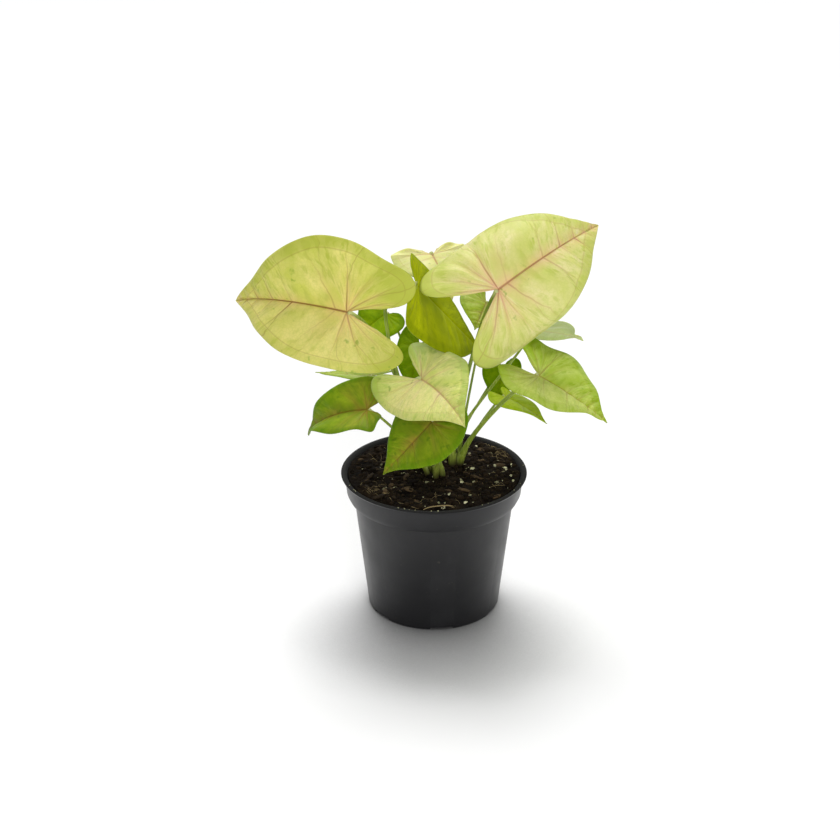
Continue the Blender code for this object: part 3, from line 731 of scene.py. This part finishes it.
def stalkPath(leaf, junction):
    low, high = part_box(leaf["stem"])
    middle = boxMiddle(low, high)
    side = math.radians(leaf["side"])
    x = middle.x + stalkShape["ring"] * mm * math.cos(side)
    y = middle.y + stalkShape["ring"] * mm * math.sin(side)
    foot = Vector((x, y, soilHeight(x, y) - stalkShape["sunk"] * mm))
    start = foot + Vector((0.0, 0.0, (stalkShape["foot"] + stalkShape["sunk"]) * mm))
    along, _, above = bladeAxes(leaf)
    under = leaf["under"]
    arrival = under * above + math.sqrt(1.0 - under ** 2) * along
    end = junction + (above * stalkShape["standOut"] - along * stalkShape["setBack"]) * mm
    reach = (end - start).length
    first = start + Vector((0.0, 0.0, leaf["rise"] * reach))
    second = end - arrival * leaf["hook"] * reach
    points = [foot]
    for number in range(stalkShape["rows"]):
        t = number / (stalkShape["rows"] - 1)
        points.append(
            (1 - t) ** 3 * start + 3 * (1 - t) ** 2 * t * first
            + 3 * (1 - t) * t ** 2 * second + t ** 3 * end
        )
    return points


def carryFrames(points, outward):
    # at each point, the way the path runs and two directions square to it
    frames = []
    side = outward
    for number in range(len(points)):
        run = (points[min(number + 1, len(points) - 1)] - points[max(number - 1, 0)]).normalized()
        side = (side - run * side.dot(run)).normalized()
        frames.append((run, side, run.cross(side)))
    return frames


def addTube(bm, points, frames, radiusAt, sides, rows, reachAt=None, sweep=math.tau):
    # a grid wrapped about the path; radiusAt takes the share of the path and the angle,
    # and reachAt says how much of the path it covers at an angle
    made = bmesh.ops.create_grid(bm, x_segments=sides, y_segments=rows, size=1.0)
    rise = bm.verts.layers.float["rise"]
    for vert in made["verts"]:
        angle = vert.co.x * sweep / 2
        share = (reachAt(angle) if reachAt else 1.0) * (vert.co.y + 1.0) / 2
        spot = share * (len(points) - 1)
        number = min(int(spot), len(points) - 2)
        middle = points[number].lerp(points[number + 1], spot - number)
        _, one, two = frames[number]
        radius = radiusAt(share, angle) * mm
        vert[rise] = share
        vert.co = middle + (one * math.cos(angle) + two * math.sin(angle)) * radius
    return made["verts"]


def stalkRadius(share, stout):
    base, middle, tip, top = (
        stalkShape[key] * stout for key in ("baseRadius", "midRadius", "tipRadius", "thickTop")
    )
    slim, thick = stalkShape["slimShare"], stalkShape["thickShare"]
    if share < slim:
        radius = base + (middle - base) * (share / slim) ** 0.8
    else:
        radius = middle + (tip - middle) * (share - slim) / (1.0 - slim)
    swell = max((share - (1.0 - thick)) / thick, 0.0)
    return radius + (top - tip) * math.sin(swell * math.pi / 2)


def makeStalk(name, leaf, junction, seed):
    points = stalkPath(leaf, junction)
    side = math.radians(leaf["side"])
    outward = Vector((math.cos(side), math.sin(side), 0.0))
    frames = carryFrames(points, outward)
    stout = leaf["stout"]
    bm = bmesh.new()
    bm.verts.layers.float.new("rise")
    sides, rows = stalkShape["sides"], stalkShape["rows"]
    tube = addTube(bm, points, frames, lambda share, angle: stalkRadius(share, stout), sides, rows)
    bmesh.ops.remove_doubles(bm, verts=tube, dist=0.01 * mm)
    bmesh.ops.holes_fill(bm, edges=[edge for edge in bm.edges if edge.is_boundary], sides=0)

    # The sheath is a skin about the stalk, open towards the stem, whose edges stand off
    # and end in two small ears.
    length = sum((after - before).length for before, after in zip(points, points[1:])) / mm
    top = stalkShape["sheathLength"] * (0.85 + 0.3 * math.sin(seed * 2.7) ** 2) / length
    top = min(top, stalkShape["sheathMost"])
    widest = math.radians(stalkShape["sheathTurn"]) / 2

    def sheathRadius(share, angle):
        flare = stalkShape["sheathFlare"] * stout * (share / top) ** 1.5 * (abs(angle) / widest) ** 2
        return stalkRadius(share, stout) + stalkShape["sheathGap"] + flare

    def sheathReach(angle):
        dip = stalkShape["earDrop"] * math.cos(angle / widest * math.pi / 2)
        return top * (1.0 - dip + 0.06 * math.sin(2 * angle + seed))

    before = set(bm.faces)
    sides, rows = stalkShape["sheathSides"], stalkShape["sheathRows"]
    addTube(bm, points, frames, sheathRadius, sides, rows, sheathReach, 2 * widest)
    skin = [face for face in bm.faces if face not in before]
    bmesh.ops.solidify(bm, geom=skin, thickness=stalkShape["sheathWall"] * mm)
    bmesh.ops.recalc_face_normals(bm, faces=bm.faces)
    return addPiece("stalk" + pieceName(name), bm, (greenStalk,), "stem", "stalk_" + name)


for order, (name, own) in enumerate(leaves.items()):
    leaf = {**usualLeaf, **own}
    junction = junctionOf(name, leaf)
    seed = 1.7 * order  # so that no two leaves are uneven alike
    makeBlade(name, leaf, junction, seed)
    makeStalk(name, leaf, junction, seed)
print("leaves made")


# stems

stemShape = dict(
    names=("stem_right", "stem_front", "stem_back"),
    taper=0.7, sunk=1.5,
    nodeSwell=0.1, nodeGap=4.5,  # the rings where leaves sprang
    rough=0.06, roughSize=1.5,
    rows=10, sides=20,
)


def makeStem(name):
    low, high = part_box(name)
    middle = boxMiddle(low, high)
    radius = (high[0] - low[0]) / 2
    sunk = stemShape["sunk"] * mm
    bm = bmesh.new()
    bmesh.ops.create_cone(
        bm, cap_ends=True, segments=stemShape["sides"],
        radius1=radius, radius2=stemShape["taper"] * radius, depth=high[2] - low[2] + sunk,
        matrix=Matrix.Translation(middle - Vector((0, 0, sunk / 2))),
    )
    upright = [edge for edge in bm.edges if abs(edge.verts[0].co.z - edge.verts[1].co.z) > 1 * mm]
    bmesh.ops.subdivide_edges(bm, edges=upright, cuts=stemShape["rows"], use_grid_fill=True)
    for vert in bm.verts:
        aside = vert.co - middle
        turn = math.sin(math.tau * (vert.co.z - low[2]) / (stemShape["nodeGap"] * mm))
        rough = stemShape["rough"] * noise.noise(vert.co / (stemShape["roughSize"] * mm))
        bump = 1.0 + stemShape["nodeSwell"] * turn + rough
        vert.co.x = middle.x + aside.x * bump
        vert.co.y = middle.y + aside.y * bump
    return addPiece("leafStem" + pieceName(name.split("_")[1]), bm, (greenStalk,), "stem", name)


for name in stemShape["names"]:
    makeStem(name)
print("stems made")


# pot

potShape = dict(
    lip=1.8, lipCrest=1.6, lipRound=0.9,
    band=18.4, bandTopInset=2.4, bandFootInset=3.6,  # each inset is from the rim's radius
    shoulder=5.0, shoulderRound=1.6, bodyTopInset=8.4, baseInset=17.0, wall=1.5,
    footRound=1.6, footWidth=7.0, floorRise=2.4, bossRadius=14.0,
    holes=8, holeRadius=4.0, holeRing=25.0, holeSides=32,
    notches=6, notchWidth=15.0, notchHeight=2.0, frontNotch=-83.0,  # degrees round the pot
    turns=160, sharp=38.0,  # facets round, and the angle past which an edge stays sharp
)
# peaty is the painted shade that the pot's upward faces are darkened to
potLook = dict(clean="#19191b", dusty="#2c2c2e", speck="#47433c", peaty="#0b0a09")
_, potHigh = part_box("nursery_pot")


def polypropylene():
    # Injection-moulded black polypropylene: semi-gloss, with a fine spark-eroded mould
    # texture, faint flow marks and a little dried dust from watering. Faces that look up are
    # painted darker, a painted shade, and made rougher.
    material, tree, shader = newMaterial("mouldedPolypropylene", 0.36, 0.4)
    shader.inputs["IOR"].default_value = 1.49
    place = addNode(tree, "TexCoord").outputs["Object"]
    dust = addNode(tree, "TexNoise", {
        "Vector": place, "Scale": grain(24), "Detail": 5.0, "Roughness": 0.6,
    })
    dust = addNode(tree, "MapRange", {0: dust, 1: 0.48, 2: 0.75, 4: 0.35})
    colour = addNode(tree, "Mix", {
        0: dust, 6: toLinear(potLook["clean"]), 7: toLinear(potLook["dusty"]),
    }, data_type="RGBA")
    speck = addNode(tree, "TexNoise", {"Vector": place, "Scale": grain(3.2), "Detail": 1.0})
    speck = addNode(tree, "MapRange", {0: speck, 1: 0.76, 2: 0.80, 4: 0.4})
    # painted shade: faces that look up are darkened towards the peaty colour, and also made rougher
    facing = addNode(tree, "NewGeometry").outputs["Normal"]
    facing = addNode(tree, "SeparateXYZ", {0: facing}).outputs["Z"]
    paintedTopShadeAndDull = addNode(tree, "MapRange", {0: facing, 1: 0.1, 2: 0.6})
    for mask, tint in ((speck, "speck"), (paintedTopShadeAndDull, "peaty")):
        colour = addNode(tree, "Mix", {
            0: mask, 6: colour, 7: toLinear(potLook[tint]),
        }, data_type="RGBA")
    tree.links.new(colour.outputs[2], shader.inputs["Base Color"])
    wear = addNode(tree, "TexNoise", {"Vector": place, "Scale": grain(14), "Detail": 4.0})
    wear = addNode(tree, "MapRange", {0: wear, 1: 0.3, 2: 0.7, 3: 0.33, 4: 0.43})
    wear = addNode(tree, "MapRange", {0: paintedTopShadeAndDull, 3: wear, 4: 0.85})
    tree.links.new(wear.outputs[0], shader.inputs["Roughness"])
    # the mould's texture is finer still, and is drawn at 0.7 mm so that it shows
    fineGrain = addNode(tree, "TexNoise", {"Vector": place, "Scale": grain(0.7), "Detail": 2.0})
    bump = addNode(tree, "Bump", {"Strength": 0.15, "Distance": 0.05 * mm, "Height": fineGrain})
    tree.links.new(bump.outputs[0], shader.inputs["Normal"])
    return material


def potProfile():
    # radius and height in mm, down the outside to the base's middle and up the inside
    rim, top = potHigh[0] / mm, potHigh[2] / mm
    crest, lipFoot = rim - potShape["lipCrest"], top - potShape["lip"]
    bandTop, bandFoot = rim - potShape["bandTopInset"], rim - potShape["bandFootInset"]
    bodyTop, base = rim - potShape["bodyTopInset"], rim - potShape["baseInset"]
    foot, shoulder, wall = top - potShape["band"], potShape["shoulder"], potShape["wall"]
    roundOff, lipRound, footRound = (potShape[key] for key in ("shoulderRound", "lipRound", "footRound"))
    channel, rise, boss = base - potShape["footWidth"], potShape["floorRise"], potShape["bossRadius"]
    outside = [
        (crest - lipRound, top - lipRound / 3), (crest, top), (rim - lipRound / 2, top - lipRound / 3),
        (rim, top - lipRound), (rim - lipRound / 2, lipFoot), (bandTop, lipFoot - lipRound),
        (bandFoot, foot + shoulder), (bandFoot - roundOff, foot + roundOff), (bodyTop, foot),
        (base, footRound), (base - 0.3 * footRound, 0.3 * footRound), (base - footRound, 0.0),
        (channel, 0.0), (channel - 1.0, rise), (boss + 1.0, rise), (boss, 0.0), (0.0, 0.0),
    ]
    inside = [
        (0.0, rise + wall), (base - 2.0 * wall, rise + wall), (bodyTop - wall, foot + wall),
        (bandFoot - wall, foot + shoulder + wall), (bandTop - wall, lipFoot),
    ]
    return outside, inside


def carve(piece, bm):  # cuts the bmesh's solids out of the piece, and leaves no cutter behind
    mesh = bpy.data.meshes.new("cutter")
    bm.to_mesh(mesh)
    bm.free()
    cutter = bpy.data.objects.new("cutter", mesh)
    bpy.context.scene.collection.objects.link(cutter)
    cut = piece.modifiers.new("cut", "BOOLEAN")
    cut.object = cutter
    whole = piece.data
    graph = bpy.context.evaluated_depsgraph_get()
    piece.data = bpy.data.meshes.new_from_object(piece.evaluated_get(graph))
    piece.modifiers.clear()
    for spare in (cutter, whole, mesh):
        (bpy.data.objects if spare is cutter else bpy.data.meshes).remove(spare)


def roundThePot(count, first, radius):
    for number in range(count):
        turn = Matrix.Rotation(first + math.tau * number / count, 4, "Z")
        yield turn @ Matrix.Translation((radius * mm, 0.0, 0.0))


def makePot():
    outside, inside = potProfile()
    bm = bmesh.new()
    ring = [bm.verts.new((radius * mm, 0.0, height * mm)) for radius, height in outside + inside]
    edges = [bm.edges.new(pair) for pair in zip(ring, ring[1:] + ring[:1])]
    bmesh.ops.spin(
        bm, geom=ring + edges, axis=(0, 0, 1), cent=(0, 0, 0), dvec=(0, 0, 0),
        angle=math.tau, steps=potShape["turns"], use_merge=True, use_duplicate=False,
    )
    bmesh.ops.remove_doubles(bm, verts=bm.verts, dist=0.01 * mm)
    bmesh.ops.recalc_face_normals(bm, faces=bm.faces)
    pot = addPiece("nurseryPot", bm, (polypropylene(),), "pot_plastic", "nursery_pot")

    cutters = bmesh.new()
    base = potHigh[0] / mm - potShape["baseInset"]
    for place in roundThePot(potShape["holes"], 0.0, potShape["holeRing"]):
        bmesh.ops.create_cone(
            cutters, cap_ends=True, segments=potShape["holeSides"], matrix=place,
            radius1=potShape["holeRadius"] * mm, radius2=potShape["holeRadius"] * mm,
            depth=6 * potShape["floorRise"] * mm,
        )
    size = (3 * potShape["footWidth"], potShape["notchWidth"], 2 * potShape["notchHeight"])
    for place in roundThePot(potShape["notches"], math.radians(potShape["frontNotch"]), base):
        bmesh.ops.create_cube(cutters, size=mm, matrix=place @ Matrix.Diagonal((*size, 1.0)))
    carve(pot, cutters)
    pot.data.set_sharp_from_angle(angle=math.radians(potShape["sharp"]))
    return pot


makePot()
print("pot made")


# potting mix


def pottingMix(name, dark, brown, roughness, specular=0.15):
    material, tree, shader = newMaterial(name, roughness, specular)
    place = addNode(tree, "TexCoord").outputs["Object"]
    tint = addNode(tree, "Attribute", attribute_name="tint").outputs["Fac"]
    crumb = addNode(tree, "TexNoise", {
        "Vector": place, "Scale": grain(2.6), "Detail": 5.0, "Roughness": 0.65,
    })
    mixed = addNode(tree, "Math", {0: crumb, 1: tint}, operation="MULTIPLY")
    mixed = addNode(tree, "MapRange", {0: mixed, 1: 0.08, 2: 0.6})
    colour = addNode(tree, "Mix", {0: mixed, 6: toLinear(dark), 7: toLinear(brown)}, data_type="RGBA")
    tree.links.new(colour.outputs[2], shader.inputs["Base Color"])
    bump = addNode(tree, "Bump", {"Strength": 0.6, "Distance": 0.3 * mm, "Height": crumb})
    tree.links.new(bump.outputs[0], shader.inputs["Normal"])
    return material


# Damp peat is nearly black and scatters its light; perlite is expanded glass, chalky
# white under a film of peat; bark is fibrous, from dark brown to tan; coir is a dry
# straw-brown fibre with a slight sheen.
peat = pottingMix("dampPeat", "#060403", "#2a2015", 0.95, 0.08)
perlite = pottingMix("dustyPerlite", "#4c482c", "#dedab4", 0.75)
bark = pottingMix("barkChip", "#0e0a06", "#584630", 0.85)
coir = pottingMix("coirFibre", "#2a2014", "#a08c64", 0.75, 0.2)

heaps = soilShape["heaps"]
stemMiddles = [boxMiddle(*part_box(stem)) for stem in stemShape["names"]]


def heapShare(x, y):  # 1 in the middle of a heap, 0 away from the heaps
    return max(
        math.exp(-((x / mm - middleX) ** 2 + (y / mm - middleY) ** 2) / spread ** 2)
        for middleX, middleY, spread, _ in heaps
    )


def nearStems(x, y):  # 1 beside a stem, 0 away from the stems
    apart = min((x - middle.x) ** 2 + (y - middle.y) ** 2 for middle in stemMiddles)
    return math.exp(-apart / (soilShape["moundReach"] * mm) ** 2)


def soilRelief(x, y):
    spot = Vector((x, y, 0.0)) / mm
    rise = sum(height * noise.noise(spot / across) for height, across in soilShape["lumps"])
    rise += max(height for *_, height in heaps) * heapShare(x, y)
    rise += soilShape["mound"] * nearStems(x, y)
    return soilHeight(x, y) + (rise + soilShape["fill"]) * mm


def makeSoil():
    bm = bmesh.new()
    tint = bm.verts.layers.float.new("tint")
    cells, inset = soilShape["cells"], soilShape["inset"]
    bmesh.ops.create_grid(bm, x_segments=cells, y_segments=cells, size=1.0)
    for vert in bm.verts:
        x, y = vert.co.x, vert.co.y  # the square spread into a disc
        x, y = x * math.sqrt(1 - y * y / 2) * soilEdge, y * math.sqrt(1 - x * x / 2) * soilEdge
        vert.co = (x, y, soilRelief(x, y))
        vert[tint] = 0.45 + 0.5 * noise.noise(Vector((x, y, 1.0)) / (9 * mm)) + 0.5 * heapShare(x, y)
    rim = [edge for edge in bm.edges if edge.is_boundary]
    _, inside = potProfile()
    for radius, height in inside[-2:0:-1]:  # down the pot's inner wall
        made = bmesh.ops.extrude_edge_only(bm, edges=rim)["geom"]
        for vert in (part for part in made if isinstance(part, bmesh.types.BMVert)):
            flat = Vector((vert.co.x, vert.co.y)).normalized() * (radius - inset) * mm
            vert.co = (flat.x, flat.y, (height + inset) * mm)
        rim = [part for part in made if isinstance(part, bmesh.types.BMEdge)]
    bmesh.ops.holes_fill(bm, edges=rim, sides=0)
    bmesh.ops.recalc_face_normals(bm, faces=bm.faces)
    return addPiece("pottingSoil", bm, (peat,), "soil", "potting_soil")


# How many of each, their least and greatest size in mm, their height and length against
# their width, how far they sink in, and their facets. heaped: the share that lies in heaps.
mixShape = dict(
    crumb=dict(count=1500, size=(0.5, 2.2), flat=0.75, stretch=1.4, sink=0.0, detail=1),
    perlite=dict(count=150, size=(0.3, 1.35), flat=0.8, stretch=1.3, sink=0.15, detail=2),
    bark=dict(count=90, size=(0.7, 2.4), flat=0.35, stretch=2.4, sink=-0.2, detail=1),
    speck=dict(count=16, size=(0.25, 0.5), flat=0.8, stretch=1.3, spread=40.0, detail=1),
    fibre=dict(count=230, length=(3.0, 10.0), radius=(0.07, 0.16), heaped=0.6, bends=4, reach=0.97),
    rootlet=dict(  # a pale one that curls over the mix at the front
        points=(
            (-7.0, -56.0, 94.2), (-3.0, -53.0, 94.4), (4.0, -51.5, 94.6),
            (9.0, -50.5, 94.2), (13.0, -50.0, 93.0),
        ),
        radius=0.4, shade=1.6,
    ),
)


def spotOnMix(draw, favour=None):  # favour says how likely a spot is to be kept
    while True:
        angle = draw.uniform(0, math.tau)
        out = soilEdge * math.sqrt(draw.uniform(0, soilShape["strewn"]))
        x, y = out * math.cos(angle), out * math.sin(angle)
        if favour is None or draw.random() < favour(x, y):
            return x, y


def addGrain(bm, tint, draw, place, size, settings, shade):
    made = bmesh.ops.create_icosphere(bm, subdivisions=settings["detail"], radius=1.0)["verts"]
    turn = Matrix.Rotation(draw.uniform(0, math.tau), 4, "Z")
    tip = Matrix.Rotation(draw.uniform(-0.5, 0.5), 4, "X")
    shape = Matrix.Diagonal((size * settings["stretch"], size, size * settings["flat"], 1.0))
    whole = Matrix.Translation(place) @ turn @ tip @ shape
    for vert in made:  # knobbly, no two alike
        vert.co *= 1.0 + 0.7 * noise.noise(vert.co * 1.9 + place / mm)
        vert.co = whole @ vert.co
        vert[tint] = shade


def strewLip(bm, tint, draw):  # specks that fell on the lip when the pot was filled
    settings = mixShape["speck"]
    out = potHigh[0] - potShape["lipCrest"] * mm
    for _ in range(settings["count"]):
        angle = math.radians(-90.0 + draw.gauss(0.0, 1.0) * settings["spread"])
        size = draw.uniform(*settings["size"]) * mm
        place = Vector((out * math.cos(angle), out * math.sin(angle), potHigh[2] + 0.2 * size))
        addGrain(bm, tint, draw, place, size, settings, 0.3 + 0.5 * draw.random())


def scatter(name, kind, material, seed, favour):
    # rough grains lying on the mix, each with a shade of its own
    draw = random.Random(seed)
    settings = mixShape[kind]
    least, most = settings["size"]
    bm = bmesh.new()
    tint = bm.verts.layers.float.new("tint")
    for _ in range(settings["count"]):
        x, y = spotOnMix(draw, favour)
        size = (least + (most - least) * draw.random() ** 2) * mm
        shade = 0.35 + 0.9 * draw.random() ** 1.5
        place = Vector((x, y, soilRelief(x, y) - settings["sink"] * size))
        addGrain(bm, tint, draw, place, size, settings, shade)
    if kind == "perlite":
        strewLip(bm, tint, draw)
    return addPiece(name, bm, (material,), "soil")


def addStrand(bm, tint, points, radius, shade):
    rows = 3 * (len(points) - 1)
    path = [smoothThrough(points, number / rows) for number in range(rows + 1)]
    frames = carryFrames(path, Vector((0.0, 0.0, 1.0)))

    def strandRadius(share, angle):  # thin at both ends
        return radius * (1.0 - 0.6 * abs(2 * share - 1) ** 3)

    for vert in addTube(bm, path, frames, strandRadius, 5, rows):
        vert[tint] = shade


def makeFibres():
    draw = random.Random(21)
    settings, rootlet = mixShape["fibre"], mixShape["rootlet"]
    bends = settings["bends"]
    bm = bmesh.new()
    bm.verts.layers.float.new("rise")
    tint = bm.verts.layers.float.new("tint")
    for number in range(settings["count"]):
        if number < settings["heaped"] * settings["count"]:
            middleX, middleY, spread, _ = heaps[number % len(heaps)]
            x, y = middleX + 0.6 * draw.gauss(0, spread), middleY + 0.6 * draw.gauss(0, spread)
            out = math.hypot(x, y) * mm / (soilShape["strewn"] * soilEdge)
            x, y = x * mm / max(out, 1.0), y * mm / max(out, 1.0)  # drawn in from the wall
        else:
            x, y = spotOnMix(draw)
        heading, turn = draw.uniform(0, math.tau), draw.uniform(-0.5, 0.5)
        step = draw.uniform(*settings["length"]) / bends * mm
        lift = draw.uniform(0.1, 0.9) * mm
        points = []
        for place in range(bends + 1):
            shrink = min(settings["reach"] * soilEdge / max(math.hypot(x, y), 1e-6), 1.0)
            x, y = x * shrink, y * shrink
            arch = lift * math.sin(place * math.pi / bends)
            points.append(Vector((x, y, soilRelief(x, y) + arch + 0.15 * mm)))
            x, y = x + step * math.cos(heading), y + step * math.sin(heading)
            heading += turn + draw.uniform(-0.3, 0.3)
        addStrand(bm, tint, points, draw.uniform(*settings["radius"]), 0.3 + 0.9 * draw.random() ** 1.3)
    points = [Vector(point) * mm for point in rootlet["points"]]
    addStrand(bm, tint, points, rootlet["radius"], rootlet["shade"])
    bmesh.ops.recalc_face_normals(bm, faces=bm.faces)
    return addPiece("coirStrands", bm, (coir,), "soil")


makeSoil()
scatter("peatCrumbs", "crumb", peat, 3, lambda x, y: 0.45 + 0.55 * nearStems(x, y))
scatter("perliteGrains", "perlite", perlite, 5, lambda x, y: 0.45 + 0.4 * (x - 0.6 * y) / soilEdge)
scatter("barkChips", "bark", bark, 8, lambda x, y: 0.25 + 0.75 * heapShare(x, y))
makeFibres()
print("potting mix made")


# floor and light

# Where the lights hang is in metres. The painted shadow: how dark the floor is painted where
# the pot stands between it and the light behind, and from how many mm away.
studio = dict(
    floor="#e6e6e6", floorLift=1.26, floorReach=6.0, world=0.42, worldSeen=1.3,
    paintedShadow=dict(towards=(0.0, 0.7, 0.6), reach=95.0, dark=0.12),
    sun=dict(place=(0.0, 0.6, 1.5), towards=(0.03, -0.55, -0.83), strength=2.4, softness=42.0),
    softbox=dict(place=(0.25, -1.9, 1.15), aim=(0.0, 0.0, 0.12), size=1.2, watts=20.0),
)


def cameraSees(tree, lit, seen):
    # lit for what falls on the object, seen for what the camera sees outright, in gloss or
    # through glass
    rays = addNode(tree, "LightPath").outputs
    share = rays["Is Camera Ray"]
    for ray in ("Is Glossy Ray", "Is Transmission Ray"):
        share = addNode(tree, "Math", {0: share, 1: rays[ray]}, operation="MAXIMUM")
    return addNode(tree, "MapRange", {0: share, 3: lit, 4: seen})


def makeStudio():
    bm = bmesh.new()
    bmesh.ops.create_grid(bm, x_segments=1, y_segments=1, size=studio["floorReach"])
    mesh = bpy.data.meshes.new("floor")
    bm.to_mesh(mesh)
    bm.free()
    floor = bpy.data.objects.new("floor", mesh)
    bpy.context.scene.collection.objects.link(floor)
    material = bpy.data.materials.new("paleFloor")
    material.use_nodes = True
    tree = material.node_tree
    tree.nodes.clear()
    # the floor is lifted to white where it is seen, and is painted darker where the pot stands
    # between it and the light that hangs behind, a painted shadow laid over the real one
    paintedShadow = studio["paintedShadow"]
    towards = addNode(tree, "CombineXYZ", dict(enumerate(paintedShadow["towards"])))
    clear = addNode(tree, "AmbientOcclusion", {
        "Distance": paintedShadow["reach"] * mm, "Normal": towards,
    }, samples=12).outputs["AO"]
    clear = addNode(tree, "MapRange", {0: clear, 1: 0.2, 2: 0.92, 3: paintedShadow["dark"], 4: 1.0})
    plain = toLinear(studio["floor"])[0]
    lifted = addNode(tree, "Math", {0: clear, 1: plain * studio["floorLift"]}, operation="MULTIPLY")
    shade = cameraSees(tree, plain, lifted)
    addNode(tree, "OutputMaterial", {0: addNode(tree, "BsdfDiffuse", {"Color": shade})})
    mesh.materials.append(material)

    world = bpy.data.worlds.new("studio")
    bpy.context.scene.world = world
    world.use_nodes = True
    tree = world.node_tree
    tree.nodes.clear()
    straight = addNode(tree, "LightPath").outputs["Is Camera Ray"]
    strength = addNode(tree, "MapRange", {
        0: straight, 3: cameraSees(tree, studio["world"], 1.0), 4: studio["worldSeen"],
    })
    sky = addNode(tree, "Background", {"Strength": strength})
    addNode(tree, "OutputWorld", {0: sky})

    sun = studio["sun"]
    light = hangLight("backSun", "SUN", sun["place"], Vector(sun["towards"]))
    light.energy = sun["strength"]
    light.angle = math.radians(sun["softness"])
    softbox = studio["softbox"]
    place = softbox["place"]
    light = hangLight("frontSoftbox", "AREA", place, Vector(softbox["aim"]) - Vector(place))
    light.energy = softbox["watts"]
    light.size = softbox["size"]


def hangLight(name, kind, place, towards):
    light = bpy.data.lights.new(name, kind)
    fitting = bpy.data.objects.new(name, light)
    fitting.location = place
    fitting.rotation_euler = towards.to_track_quat("-Z", "Y").to_euler()
    bpy.context.scene.collection.objects.link(fitting)
    return light


makeStudio()
view = bpy.context.scene.view_settings
view.view_transform = "Standard"
print("studio made")
